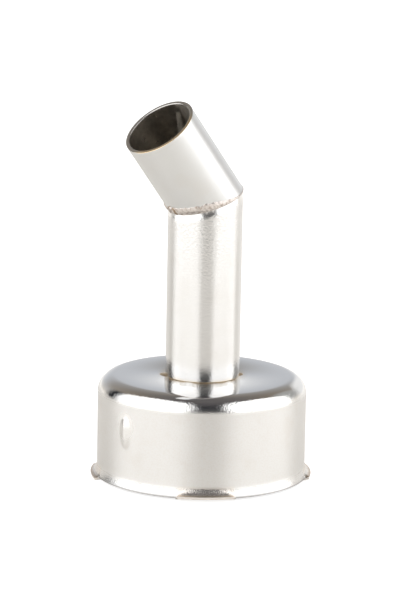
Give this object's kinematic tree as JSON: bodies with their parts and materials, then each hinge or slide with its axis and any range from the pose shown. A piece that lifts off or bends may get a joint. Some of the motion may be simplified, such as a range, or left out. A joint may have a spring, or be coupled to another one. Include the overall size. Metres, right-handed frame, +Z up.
{
  "type": "hot air nozzle",
  "caption": "Bent hot air nozzle: a pressed bayonet cup that fits over a handpiece's heater, with a stem tube and a mitred tip tube that aims the air.",
  "frame": {"origin": "on the cup's axis, in the plane of the lugs' undersides that the nozzle stands on", "axes": "+Z up the cup and the stem, -Y through one bayonet lug, the tip leaning towards -X and -Y"},
  "size_m": [0.0358, 0.0358, 0.0615],
  "materials": {
    "cup_steel": "bright plated pressed sheet, satin on the wall and mirror-like on the top",
    "stem_steel": "bright plated tube with a fine grain",
    "tip_steel": "satin plated tube, dull and dark inside",
    "weld_steel": "rough weld bead under the plating",
    "braze": "golden brown braze, darker in its pools"
  },
  "bodies": {
    "root": {"bayonet_cup": "cup_steel", "stem_tube": "stem_steel", "tip_tube": "tip_steel", "mitre_weld": "weld_steel", "braze_ring": "braze"}
  },
  "joints": []
}
